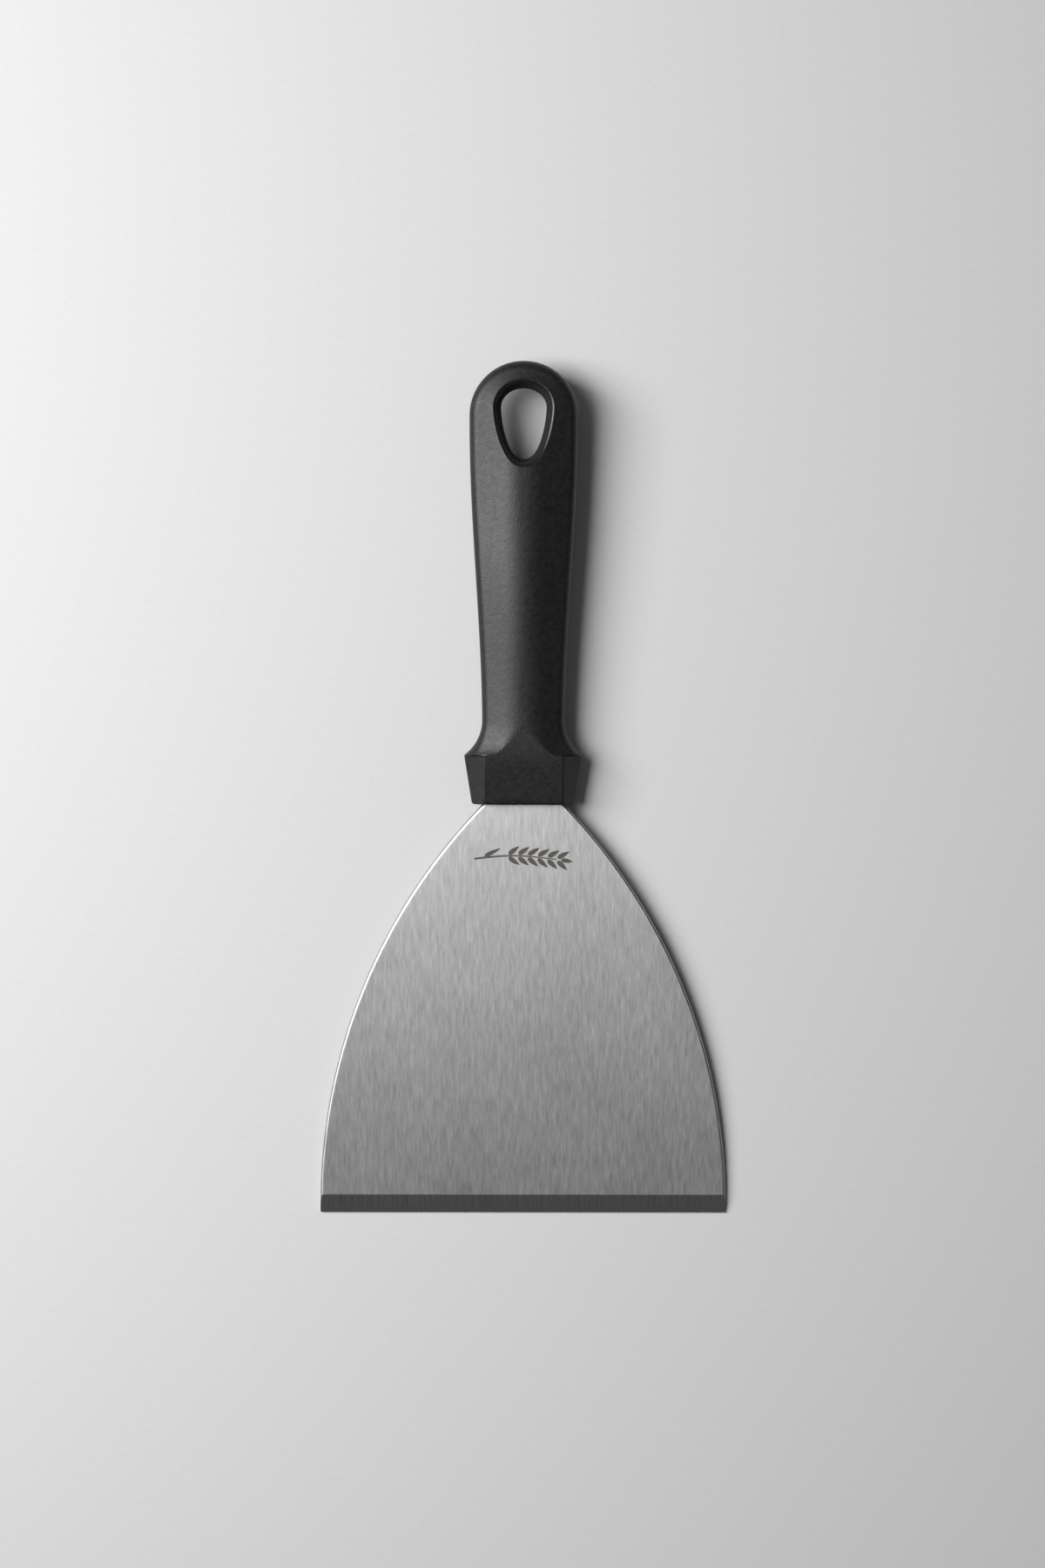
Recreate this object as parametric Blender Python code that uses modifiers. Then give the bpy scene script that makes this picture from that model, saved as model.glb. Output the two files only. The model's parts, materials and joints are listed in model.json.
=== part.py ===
"""Bench scraper: a stainless blade with a hidden tang, and a plastic handle moulded over the tang.

Both parts are modelled in the blade's own plane: x across, y along the tool with 0 at the collar's
front and the butt at +y, z through the blade with 0 at its middle. The empty "lying_on_counter" then
sets the tool down as it lies on a counter, on its working edge and on the underside of the collar.
"""

import math

import bmesh
import bpy
from mathutils import Matrix, Vector

MM = 0.001

# Blade
EDGE_WIDTH = 120 * MM
BLADE_REACH = 121 * MM  # collar front to working edge
SHEET = 1.8 * MM
SIDE_RADIUS = 169.7 * MM  # each curved side is one arc
SIDE_ARC_RISE = 2.8 * MM  # the arcs' centres lie this far above the working edge
SIDE_ARC_STEPS = 30
EASED_EDGE = 0.75 * MM
BEVEL_WIDTH = 5.2 * MM
EDGE_THICKNESS = 0.6 * MM
GRIND_ALLOWANCE = 4 * MM  # the blank is stamped longer, then ground back to the edge

# Tang, in the handle
TANG_HALF_WIDTH = 9.5 * MM
TANG_END = 72 * MM
TANG_CORNER = 4 * MM
LOCK_HOLE_RADIUS = 3 * MM
LOCK_HOLES_Y = (18 * MM, 38 * MM, 58 * MM)
FIT_GAP = 0.3 * MM

# Handle: collar
COLLAR_TOP = 14.3 * MM
COLLAR_FRONT_HALF_WIDTH = 15.2 * MM
COLLAR_TOP_HALF_WIDTH = 17.5 * MM
COLLAR_FRONT_HALF_DEPTH = 4.7 * MM
COLLAR_TOP_HALF_DEPTH = 6.8 * MM
COLLAR_FACE_HALF_WIDTH = 11.7 * MM
COLLAR_SIDE_BAND = 0.7 * MM
COLLAR_FACE_EDGE_RADIUS = 0.8 * MM
COLLAR_SIDE_RADIUS = 1.0 * MM
COLLAR_FRONT_RADIUS = 0.8 * MM
COLLAR_CORNER_SOFTNESS = 0.5 * MM

# Handle: flare and grip
FLARE_TOP = 25.0 * MM
FLARE_RADIUS = 12.9 * MM
FLARE_SIDE_RADIUS = 4.4 * MM
SCOOP_RUN = 1.2 * MM  # length over which the scoops above the collar deepen to the grip's side band
NECK_HALF_WIDTH = 12.2 * MM
BUTT_RADIUS = 16 * MM
BUTT_CENTRE = 114.7 * MM
SWELL_START = 22 * MM
SWELL_END = 112 * MM
NECK_HALF_DEPTH = 6.8 * MM
PALM_HALF_DEPTH = 7.7 * MM
BUTT_HALF_DEPTH = 7.2 * MM
GRIP_CROWN_HALF_WIDTH = 3.3 * MM
GRIP_SIDE_BAND = 4.0 * MM
GRIP_CROWN_RADIUS = 19.5 * MM
GRIP_SIDE_RADIUS = 3.2 * MM

# Handle: teardrop hang hole, wide end towards the butt
HOLE_CENTRE = 117.0 * MM
HOLE_HALF_WIDTH = 9.35 * MM
HOLE_ABOVE = 8.8 * MM
HOLE_BELOW = 17.8 * MM
HOLE_WALL_INSET = 2.65 * MM  # plan distance from the rim to the narrowest line, at mid-thickness
HOLE_CHAMFER = 1.2 * MM
HOLE_TOP_DRAFT = 1.2  # the wall's inset at the wide end, over its inset elsewhere
HOLE_SIDE_POWER = 1.75  # superellipse power of the nose half, at its sides
HOLE_NOSE_POWER = 2.1  # the same at its tip

# How finely the loft is cut
FRONT_STEPS = 3
COLLAR_STEPS = 3
FLARE_STEPS = 12
GRIP_STEPS = 9
HOLE_STEPS = 20
CROWN_ARC_STEPS = 4
SIDE_ROUND_STEPS = 4


def clear_scene():
    for obj in list(bpy.data.objects):
        bpy.data.objects.remove(obj)


def new_collection(name, helpers=False):
    collection = bpy.data.collections.new(name)
    bpy.context.scene.collection.children.link(collection)
    collection.hide_render = helpers
    return collection


def new_object(name, mesh, collection):
    obj = bpy.data.objects.new(name, mesh)
    collection.objects.link(obj)
    return obj


def make_cutter(obj):
    obj.hide_render = True
    obj.display_type = "WIRE"


def new_material(name, colour, roughness, metallic):
    material = bpy.data.materials.new(name)
    material.use_nodes = True
    shader = material.node_tree.nodes["Principled BSDF"]
    shader.inputs["Base Color"].default_value = (*colour, 1)
    shader.inputs["Roughness"].default_value = roughness
    shader.inputs["Metallic"].default_value = metallic
    return material


def cut(obj, cutter):
    boolean = obj.modifiers.new("cut by " + cutter.name, "BOOLEAN")
    boolean.object = cutter
    boolean.operation = "DIFFERENCE"
    boolean.solver = "EXACT"


def blend(start, end, amount):
    """Smooth step from start to end as amount goes from 0 to 1."""
    amount = min(max(amount, 0), 1)
    return start + (end - start) * amount * amount * (3 - 2 * amount)


def soft_min(a, b, softness):
    """The smaller of a and b, with the corner where they cross rounded off."""
    overlap = max(softness - abs(a - b), 0) / softness
    return min(a, b) - overlap * overlap * softness / 4


# ---------------------------------------------------------------- blade


def blade_half_width(y, offset=0.0):
    """Half-width of the blade's curved side at y, moved outwards by offset."""
    centre_y = SIDE_ARC_RISE - BLADE_REACH
    centre_x = EDGE_WIDTH / 2 - SIDE_RADIUS
    if y < centre_y:
        return EDGE_WIDTH / 2 + offset
    return centre_x + math.sqrt((SIDE_RADIUS + offset) ** 2 - (y - centre_y) ** 2)


def tang_shoulder(offset=0.0):
    """Where the blade's curved side has narrowed to the tang's width."""
    centre_y = SIDE_ARC_RISE - BLADE_REACH
    centre_x = EDGE_WIDTH / 2 - SIDE_RADIUS
    run = TANG_HALF_WIDTH + offset - centre_x
    return centre_y + math.sqrt((SIDE_RADIUS + offset) ** 2 - run ** 2)


def tang_corner(offset=0.0):
    """The tang's rounded end corner, on its right side, as points from the side to the end."""
    radius = TANG_CORNER + offset
    centre = Vector((TANG_HALF_WIDTH + offset - radius, TANG_END + offset - radius))
    angles = [math.radians(90) * step / 6 for step in range(7)]
    return [centre + radius * Vector((math.cos(a), math.sin(a))) for a in angles]


def right_side(start, steps, offset=0.0):
    """Outline of the right side from y = start up the curved side, along the tang to its end."""
    shoulder = tang_shoulder(offset)
    ys = [start + (shoulder - start) * step / steps for step in range(steps + 1)]
    return [Vector((blade_half_width(y, offset), y)) for y in ys] + tang_corner(offset)


def sheet_mesh(name, right, hole_radius, half_thickness):
    """A flat plate with this right-hand outline, mirrored to the left, and the locking holes."""
    left = [Vector((-point.x, point.y)) for point in reversed(right)]
    circle = [math.radians(360) * step / 24 for step in range(24)]
    loops = [right + left]
    for hole_y in LOCK_HOLES_Y:
        centre = Vector((0, hole_y))
        loops.append([centre + hole_radius * Vector((math.cos(a), math.sin(a))) for a in circle])

    outline = bpy.data.curves.new(name, "CURVE")
    outline.dimensions = "2D"
    outline.fill_mode = "BOTH"
    outline.extrude = half_thickness
    for loop in loops:
        spline = outline.splines.new("POLY")
        spline.points.add(len(loop) - 1)
        for point, place in zip(spline.points, loop):
            point.co = (place.x, place.y, 0, 1)
        spline.use_cyclic_u = True

    guide = bpy.data.objects.new(name, outline)
    bpy.context.scene.collection.objects.link(guide)
    bpy.context.view_layer.update()
    evaluated = guide.evaluated_get(bpy.context.evaluated_depsgraph_get())
    mesh = bpy.data.meshes.new_from_object(evaluated)
    bpy.data.objects.remove(guide)

    weld = bmesh.new()
    weld.from_mesh(mesh)
    bmesh.ops.remove_doubles(weld, verts=weld.verts, dist=0.01 * MM)
    bmesh.ops.dissolve_limit(weld, angle_limit=math.radians(0.5), verts=weld.verts, edges=weld.edges)
    weld.to_mesh(mesh)
    weld.free()
    return mesh


def box_cutter(name, centre, size, tilt, collection):
    bpy.ops.mesh.primitive_cube_add(size=1)
    box = bpy.context.object
    box.name = name
    box.data.transform(Matrix.Diagonal((*size, 1)))
    box.location = centre
    box.rotation_euler.x = tilt
    for owner in list(box.users_collection):
        owner.objects.unlink(box)
    collection.objects.link(box)
    make_cutter(box)
    return box


def make_blade(parts, cutters, rig):
    blank = right_side(-BLADE_REACH - GRIND_ALLOWANCE, SIDE_ARC_STEPS)
    blade = new_object("blade", sheet_mesh("blade", blank, LOCK_HOLE_RADIUS, SHEET / 2), parts)
    blade.parent = rig

    easing = blade.modifiers.new("eased edges", "BEVEL")
    easing.width = EASED_EDGE
    easing.segments = 2
    easing.limit_method = "ANGLE"
    easing.angle_limit = math.radians(60)

    # The front trim leaves the working edge square to the tool, and the grind leaves its bevel.
    block = 40 * MM
    wide = EDGE_WIDTH + block
    trim_centre = Vector((0, -BLADE_REACH - block / 2, 0))
    trim = box_cutter("front_trim", trim_centre, (wide, block, block), 0, cutters)
    rise = SHEET - EDGE_THICKNESS
    slope = math.atan2(rise, BEVEL_WIDTH)
    bevel_middle = Vector((0, -BLADE_REACH + BEVEL_WIDTH / 2, EDGE_THICKNESS - SHEET / 2 + rise / 2))
    above = Vector((0, -math.sin(slope), math.cos(slope))) * block / 2
    grind = box_cutter("bevel_grind", bevel_middle + above, (wide, block, block), slope, cutters)
    for cutter in (trim, grind):
        cutter.parent = rig
        cut(blade, cutter)
    blade.data.materials.append(new_material("brushed stainless steel", (0.55, 0.55, 0.56), 0.32, 1))
    return blade


# ---------------------------------------------------------------- handle


class Section:
    """One quarter of the handle's cross-section: a flat crown, a sloping facet and an upright side.

    It runs from the crown's middle (0, half_depth) to the parting line (half_width, 0). Distances
    along it are measured outwards from the middle of the tool.
    """

    def __init__(self, half_width, half_depth, crown, band, crown_radius, side_radius):
        self.half_width = half_width
        self.half_depth = half_depth
        self.normal = math.atan2(half_width - crown, half_depth - band)
        crown_turn = (math.radians(90) - self.normal) / 2
        crown_tilt = (math.radians(90) + self.normal) / 2
        reach = crown_radius / math.cos(crown_turn)
        self.crown_radius = crown_radius
        self.crown_centre = Vector((crown - reach * math.cos(crown_tilt), half_depth - crown_radius))
        side_reach = side_radius / math.cos(self.normal / 2)
        self.side_radius = side_radius
        self.side_centre = Vector((half_width - side_radius, band - side_reach * math.sin(self.normal / 2)))
        facet_normal = Vector((math.cos(self.normal), math.sin(self.normal)))
        self.facet_start = self.crown_centre + crown_radius * facet_normal
        self.facet_end = self.side_centre + side_radius * facet_normal

    def height(self, out):
        """Height of the upper skin at this distance out, as far as the facet's end."""
        if out <= self.crown_centre.x:
            return self.half_depth
        if out <= self.facet_start.x:
            run = out - self.crown_centre.x
            return self.crown_centre.y + math.sqrt(self.crown_radius ** 2 - run ** 2)
        along = (out - self.facet_start.x) / (self.facet_end.x - self.facet_start.x)
        return self.facet_start.y + along * (self.facet_end.y - self.facet_start.y)

    def skin(self, inner):
        """Points (out, height) from the distance inner to the parting line."""
        outs = [0.0, self.crown_centre.x / 2]
        for step in range(CROWN_ARC_STEPS + 1):
            angle = math.radians(90) + (self.normal - math.radians(90)) * step / CROWN_ARC_STEPS
            outs.append(self.crown_centre.x + self.crown_radius * math.cos(angle))
        outs.append((self.facet_start.x + self.facet_end.x) / 2)
        outs.append(self.facet_end.x)
        squeeze = (self.facet_end.x - inner) / self.facet_end.x
        points = [(inner + out * squeeze, self.height(inner + out * squeeze)) for out in outs]
        for step in range(1, SIDE_ROUND_STEPS + 1):
            angle = self.normal * (1 - step / SIDE_ROUND_STEPS)
            rounded = self.side_centre + self.side_radius * Vector((math.cos(angle), math.sin(angle)))
            points.append((rounded.x, rounded.y))
        points.append((self.half_width, 0.0))
        return points


def grip_half_width(y):
    return blend(NECK_HALF_WIDTH, BUTT_RADIUS, (y - SWELL_START) / (SWELL_END - SWELL_START))


def grip_half_depth(y):
    palm = (FLARE_TOP + BUTT_CENTRE) / 2
    if y < palm:
        return blend(NECK_HALF_DEPTH, PALM_HALF_DEPTH, (y - FLARE_TOP) / (palm - FLARE_TOP))
    return blend(PALM_HALF_DEPTH, BUTT_HALF_DEPTH, (y - palm) / (BUTT_CENTRE - palm))


def section_at(y, inset=0.0):
    """The handle's section at y, drawn in by inset where the collar's front edge is rounded."""
    up_collar = y / COLLAR_TOP
    collar_width = COLLAR_FRONT_HALF_WIDTH + up_collar * (COLLAR_TOP_HALF_WIDTH - COLLAR_FRONT_HALF_WIDTH)
    collar_depth = COLLAR_FRONT_HALF_DEPTH + up_collar * (COLLAR_TOP_HALF_DEPTH - COLLAR_FRONT_HALF_DEPTH)
    below_neck = min(max(FLARE_TOP - y, 0), FLARE_RADIUS)
    scoop = FLARE_RADIUS - math.sqrt(FLARE_RADIUS ** 2 - below_neck ** 2)
    half_width = soft_min(collar_width, grip_half_width(y) + scoop, COLLAR_CORNER_SOFTNESS)
    half_depth = soft_min(collar_depth, grip_half_depth(y), COLLAR_CORNER_SOFTNESS)

    # Up the flare the collar's flat face narrows to the grip's crown along a quarter ellipse, and the
    # scoops beside it start close above the collar's edge.
    up_flare = min(max((y - COLLAR_TOP) / (FLARE_TOP - COLLAR_TOP), 0), 1)
    narrowing = 1 - math.sqrt(1 - (1 - up_flare) ** 2)
    crown = GRIP_CROWN_HALF_WIDTH + narrowing * (COLLAR_FACE_HALF_WIDTH - GRIP_CROWN_HALF_WIDTH)
    scoop_rise = (y - COLLAR_TOP + COLLAR_CORNER_SOFTNESS) / SCOOP_RUN
    return Section(
        half_width - inset,
        half_depth - inset,
        crown - inset / 2,
        blend(COLLAR_SIDE_BAND, GRIP_SIDE_BAND, scoop_rise),
        blend(COLLAR_FACE_EDGE_RADIUS, GRIP_CROWN_RADIUS, up_flare),
        blend(COLLAR_SIDE_RADIUS, blend(FLARE_SIDE_RADIUS, GRIP_SIDE_RADIUS, up_flare), scoop_rise),
    )


def teardrop(angle, inset=0.0):
    """Point of the hang hole's outline: -90 degrees is its nose, +90 its wide end, by the butt."""
    out = max(math.cos(angle), 0)
    along = math.sin(angle)
    half_width = HOLE_HALF_WIDTH - inset
    if along >= 0:
        return Vector((half_width * out, HOLE_CENTRE + (HOLE_ABOVE - inset * HOLE_TOP_DRAFT) * along))
    power = HOLE_SIDE_POWER + (HOLE_NOSE_POWER - HOLE_SIDE_POWER) * along ** 2
    length = HOLE_BELOW - inset
    return Vector((half_width * out ** (2 / power), HOLE_CENTRE - length * (-along) ** (2 / power)))


def front_ribs():
    """Ribs round the collar's front edge, from its flat front face."""
    ribs = []
    for step in range(FRONT_STEPS):
        angle = math.radians(90) * step / FRONT_STEPS
        y = COLLAR_FRONT_RADIUS * (1 - math.cos(angle))
        section = section_at(y, COLLAR_FRONT_RADIUS * (1 - math.sin(angle)))
        ribs.append([Vector((out, y, height)) for out, height in section.skin(0)])
    return ribs


def shaft_ribs():
    """Ribs across the tool from the collar's front to the nose of the hang hole."""
    corner = COLLAR_TOP - COLLAR_CORNER_SOFTNESS
    nose = HOLE_CENTRE - HOLE_BELOW
    collar_run = corner - COLLAR_FRONT_RADIUS
    ys = [COLLAR_FRONT_RADIUS + collar_run * step / COLLAR_STEPS for step in range(COLLAR_STEPS)]
    # The flare's stations crowd towards the collar, where its shape changes fastest.
    ys += [corner + (FLARE_TOP - corner) * (step / FLARE_STEPS) ** 2 for step in range(FLARE_STEPS)]
    ys += [FLARE_TOP + (nose - FLARE_TOP) * step / GRIP_STEPS for step in range(GRIP_STEPS)]
    return [[Vector((out, y, height)) for out, height in section_at(y).skin(0)] for y in ys]


def hole_ribs():
    """Ribs from the hang hole's rim outwards, and the wall that goes down from the same rim.

    Beside the hole they run straight across, and round the butt they fan out from its centre.
    """
    ribs = []
    walls = []
    for step in range(HOLE_STEPS + 1):
        angle = math.radians(180) * step / HOLE_STEPS - math.radians(90)
        rim = teardrop(angle)
        spine = Vector((0, min(rim.y, BUTT_CENTRE)))
        outwards = Vector((1, 0)) if rim.y <= BUTT_CENTRE else (rim - spine).normalized()
        rib = []
        for out, height in section_at(spine.y).skin((rim - spine).length):
            place = spine + out * outwards
            rib.append(Vector((place.x, place.y, height)))
        ribs.append(rib)

        top = rib[0].z
        chamfered = teardrop(angle, HOLE_CHAMFER)
        narrowest = teardrop(angle, HOLE_WALL_INSET)
        middle = (chamfered + narrowest) / 2
        walls.append(
            [
                rib[0],
                Vector((chamfered.x, chamfered.y, top - HOLE_CHAMFER)),
                Vector((middle.x, middle.y, (top - HOLE_CHAMFER) / 2)),
                Vector((narrowest.x, narrowest.y, 0)),
            ]
        )
    return ribs, walls


def add_strip(mesh, rows, flipped):
    """Faces between each row of points and the next."""
    grid = [[mesh.verts.new(point) for point in row] for row in rows]
    for row, following in zip(grid, grid[1:]):
        for near, far, far_next, near_next in zip(row, row[1:], following[1:], following):
            corners = (near, far, far_next, near_next)
            mesh.faces.new(reversed(corners) if flipped else corners)
    return grid


def quarter_handle():
    """The upper right quarter of the handle, open where it meets its mirror images."""
    ribs, walls = hole_ribs()
    mesh = bmesh.new()
    skin = add_strip(mesh, front_ribs() + shaft_ribs() + ribs, flipped=False)
    add_strip(mesh, walls, flipped=True)
    front = skin[0]
    mesh.faces.new([mesh.verts.new((0, 0, 0))] + front[::-1])
    bmesh.ops.remove_doubles(mesh, verts=mesh.verts, dist=0.01 * MM)
    quarter = bpy.data.meshes.new("handle")
    mesh.to_mesh(quarter)
    mesh.free()
    return quarter


def make_handle(parts, cutters, rig):
    handle = new_object("handle", quarter_handle(), parts)
    handle.parent = rig
    mirror = handle.modifiers.new("left and lower sides", "MIRROR")
    mirror.use_axis = (True, False, True)
    mirror.merge_threshold = 0.01 * MM

    # The moulding's pocket follows the tang, and leaves the pegs that fill its locking holes.
    mouth = right_side(-COLLAR_FRONT_RADIUS * 3, SIDE_ARC_STEPS // 3, FIT_GAP)
    pocket_mesh = sheet_mesh("tang_pocket", mouth, LOCK_HOLE_RADIUS - FIT_GAP, SHEET / 2 + FIT_GAP)
    pocket = new_object("tang_pocket", pocket_mesh, cutters)
    pocket.parent = rig
    make_cutter(pocket)
    cut(handle, pocket)

    handle.data.materials.append(new_material("black moulded plastic", (0.025, 0.026, 0.028), 0.5, 0))
    handle.data.shade_smooth()
    handle.data.set_sharp_from_angle(angle=math.radians(35))
    return handle


# ---------------------------------------------------------------- assembly


def lean():
    """Tilt at which the working edge and the collar's underside both touch the counter."""
    edge = Vector((-BLADE_REACH, -SHEET / 2))
    heel = min(
        (Vector((y * MM, -section_at(y * MM).half_depth)) for y in range(10, 20)),
        key=lambda point: (point.y - edge.y) / (point.x - edge.x),
    )
    return math.atan2(edge.y - heel.y, heel.x - edge.x)


def set_down(rig, solids):
    """Lower the leaning tool onto z = 0, and centre its length on the origin."""
    bpy.context.view_layer.update()
    graph = bpy.context.evaluated_depsgraph_get()
    points = []
    for solid in solids:
        evaluated = solid.evaluated_get(graph)
        mesh = evaluated.to_mesh()
        points += [evaluated.matrix_world @ vertex.co for vertex in mesh.vertices]
        evaluated.to_mesh_clear()
    ys = [point.y for point in points]
    rig.location.y -= (min(ys) + max(ys)) / 2
    rig.location.z -= min(point.z for point in points)


def main():
    clear_scene()
    parts = new_collection("bench_scraper")
    cutters = new_collection("cutters", helpers=True)
    rig = bpy.data.objects.new("lying_on_counter", None)
    parts.objects.link(rig)
    rig.rotation_euler.x = lean()
    blade = make_blade(parts, cutters, rig)
    handle = make_handle(parts, cutters, rig)
    set_down(rig, [blade, handle])


main()
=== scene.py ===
"""The looks of the bench scraper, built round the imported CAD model.

The blade and the handle are made in the tool's own axes, x across, y from the working edge to the butt
and z out of the blade's upper face, with 0 at the collar's front and in the middle of the sheet. The
matrix from tool_frame() then lays them where the CAD solids lie.
"""

import json
import math

import bmesh
import bpy
from mathutils import Matrix, Vector


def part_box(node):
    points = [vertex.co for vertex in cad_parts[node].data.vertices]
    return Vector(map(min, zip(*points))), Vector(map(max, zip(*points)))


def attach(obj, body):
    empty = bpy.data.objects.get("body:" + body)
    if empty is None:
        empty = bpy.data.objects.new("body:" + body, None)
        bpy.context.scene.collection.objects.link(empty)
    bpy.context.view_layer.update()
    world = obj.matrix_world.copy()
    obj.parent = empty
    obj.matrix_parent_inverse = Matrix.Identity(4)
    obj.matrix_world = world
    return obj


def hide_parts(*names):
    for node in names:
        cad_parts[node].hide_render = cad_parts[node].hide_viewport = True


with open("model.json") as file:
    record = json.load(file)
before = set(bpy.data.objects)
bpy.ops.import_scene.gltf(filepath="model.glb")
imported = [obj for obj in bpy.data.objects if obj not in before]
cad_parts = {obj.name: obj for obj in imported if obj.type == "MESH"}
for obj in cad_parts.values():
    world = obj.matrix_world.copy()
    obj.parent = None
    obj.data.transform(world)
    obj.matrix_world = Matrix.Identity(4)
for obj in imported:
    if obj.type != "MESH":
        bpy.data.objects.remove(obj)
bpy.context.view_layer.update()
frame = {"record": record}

MM = 0.001
WELD_DISTANCE = 0.001 * MM  # points closer than this are merged

# Blade
EDGE_WIDTH = 120 * MM
BLADE_REACH = 121 * MM
SHEET = 1.8 * MM
SIDE_RADIUS = 169.7 * MM
SIDE_ARC_RISE = 2.8 * MM
EDGE_ROUND = 0.8 * MM
BEVEL_WIDTH = 5.2 * MM
EDGE_THICKNESS = 0.6 * MM
BEVEL_LINE_SOFTNESS = 0.05 * MM
BEVEL_LINE_ZONE = 0.3 * MM  # either side of the bevel's line, where the rows are closest
FLAT_SUPPORT = 0.4 * MM  # flat strip beside each rounding, so that the flats shade flat
BLADE_SIDE_STEPS = 120
BLADE_CREASE = math.radians(40)  # the blade's edges that bend more than this are shaded sharp
BRUSHED_MIN_Z = 0.995  # a brushed face's normal has more z than this, up or down
BEVEL_MIN_Z = 0.9  # the ground bevel's normal has more z than this, up

# Tang
TANG_HALF_WIDTH = 9.5 * MM
TANG_END = 72 * MM
TANG_CORNER = 4 * MM
TANG_FIRST_STEP = 1 * MM  # from the blade's shoulder to the next point of the tang's side
LOCK_HOLE_RADIUS = 3 * MM
LOCK_HOLES_Y = (18 * MM, 38 * MM, 58 * MM)
LOCK_HOLE_SIDES = 48
FIT_GAP = 0.3 * MM

# Handle: collar
COLLAR_TOP = 14.3 * MM
COLLAR_FRONT_HALF_WIDTH = 15.2 * MM
COLLAR_TOP_HALF_WIDTH = 17.5 * MM
COLLAR_FRONT_HALF_DEPTH = 4.7 * MM
COLLAR_TOP_HALF_DEPTH = 6.8 * MM
COLLAR_FACE_HALF_WIDTH = 11.7 * MM
COLLAR_SIDE_BAND = 0.7 * MM
COLLAR_FACE_EDGE_RADIUS = 0.8 * MM
COLLAR_SIDE_RADIUS = 1.0 * MM
COLLAR_FRONT_RADIUS = 0.8 * MM
COLLAR_CORNER_SOFTNESS = 0.5 * MM
COLLAR_CORNER_ZONE = 1 * MM  # before and past the collar's rounded top edge, where the ribs are closest

# Handle: flare and grip
FLARE_TOP = 25.0 * MM
FLARE_RADIUS = 12.9 * MM
FLARE_SIDE_RADIUS = 4.4 * MM
FLARE_CROWDING = 1.4  # power by which the flare's ribs crowd towards the collar
SCOOP_RUN = 1.2 * MM  # length over which the scoops above the collar deepen to the grip's side band
NECK_HALF_WIDTH = 12.2 * MM
BUTT_RADIUS = 16 * MM
BUTT_CENTRE = 114.7 * MM
SWELL_START = 22 * MM
SWELL_END = 112 * MM
NECK_HALF_DEPTH = 6.8 * MM
PALM_HALF_DEPTH = 7.7 * MM
BUTT_HALF_DEPTH = 7.2 * MM
GRIP_CROWN_HALF_WIDTH = 3.3 * MM
GRIP_SIDE_BAND = 4.0 * MM
GRIP_CROWN_RADIUS = 19.5 * MM
GRIP_SIDE_RADIUS = 3.2 * MM
PARTING_GROOVE = 0.06 * MM  # its depth
PARTING_GROOVE_HALF_WIDTH = 3 * PARTING_GROOVE
HANDLE_CREASE = math.radians(38)  # the handle's edges that bend more than this are shaded sharp

# Handle: hang hole
HOLE_CENTRE = 117.0 * MM
HOLE_HALF_WIDTH = 9.35 * MM
HOLE_ABOVE = 8.8 * MM
HOLE_BELOW = 17.8 * MM
HOLE_WALL_INSET = 2.65 * MM
HOLE_RIM_RADIUS = 1.25 * MM
HOLE_RIM_TURN = math.radians(78)  # how far the rim turns down before the wall begins
HOLE_TOP_DRAFT = 1.2  # the wall's inset at the wide end, over its inset elsewhere
HOLE_SIDE_POWER = 1.75  # superellipse power of the nose half, at its sides
HOLE_NOSE_POWER = 2.1  # the same at its tip
HOLE_STEPS = 120
HOLE_WALL_SHARES = (0, 0.05, 0.2, 0.4, 0.6, 0.8, 0.93, 1)  # rows down the wall, closer at its ends

# Mark on the blade: an ear of wheat. Sizes are pairs of length and width, and places on the stalk go
# from its foot at 0 to its tip at 1.
MARK_CENTRE_Y = -15.8 * MM
MARK_HALF_LENGTH = 14.5 * MM
MARK_PROUD = 0.012 * MM
MARK_SUNK = 0.03 * MM
STALK_SIZE = (25.4 * MM, 0.62 * MM)
STALK_SWAY = 0.9 * MM
STALK_TURN = math.radians(200)  # the sway follows a sine over this angle
STALK_DROP = 0.3 * MM
GRAIN_PAIRS = 6
FIRST_PAIR_PLACE = 0.4
LAST_PAIR_PLACE = 0.97
GRAIN_SIZE = (4 * MM, 1.5 * MM)
GRAIN_OFFSET = 0.45 * MM  # from the stalk's middle to the grain's base
GRAIN_SPLAY = math.radians(36)
GRAIN_FULLNESS = 1.24  # makes a grain nearly its stated width, a third of the way along
TIP_GRAIN_PLACE = 1.01
TIP_GRAIN_SIZE = (3.6 * MM, 1.4 * MM)
TIP_GRAIN_HEADING = math.radians(-8)
LEAF_PLACE = 0.12
LEAF_OFFSET = 0.42 * MM
LEAF_SIZE = (5.4 * MM, 1.3 * MM)
LEAF_HEADING = math.radians(26)

# Stage: places and sizes in metres, the key light's power in watts
FLOOR_HALF = 1.5
FLOOR_DROP = 0.02 * MM  # the floor lies this far below the tool
KEY_PLACE = (-0.64, 0.21, 0.76)
KEY_TARGET = (0, 0.02, 0)
KEY_SIZE = (0.5, 0.85)
KEY_POWER = 13.6
FILL_COLOUR = (0.95, 0.97, 1.0, 1)
FILL_STRENGTH = 0.085

# Camera: straight down on the tool
CAMERA_X = -0.26 * MM
CAMERA_Y = 1.1 * MM
CAMERA_HEIGHT = 1700 * MM
CAMERA_ROLL = math.radians(0.07)
CAMERA_CLIP = 50 * MM
PICTURE_HEIGHT = 465 * MM  # length of floor that the picture's height takes in


def blend(start, end, amount):
    """Smooth step from start to end as amount goes from 0 to 1."""
    amount = min(max(amount, 0), 1)
    return start + (end - start) * amount * amount * (3 - 2 * amount)


def soft_min(a, b, softness):
    """The smaller of a and b, with the corner where they cross rounded off."""
    overlap = max(softness - abs(a - b), 0) / softness
    return min(a, b) - overlap * overlap * softness / 4


def direction(angle):
    return Vector((math.cos(angle), math.sin(angle)))


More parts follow.
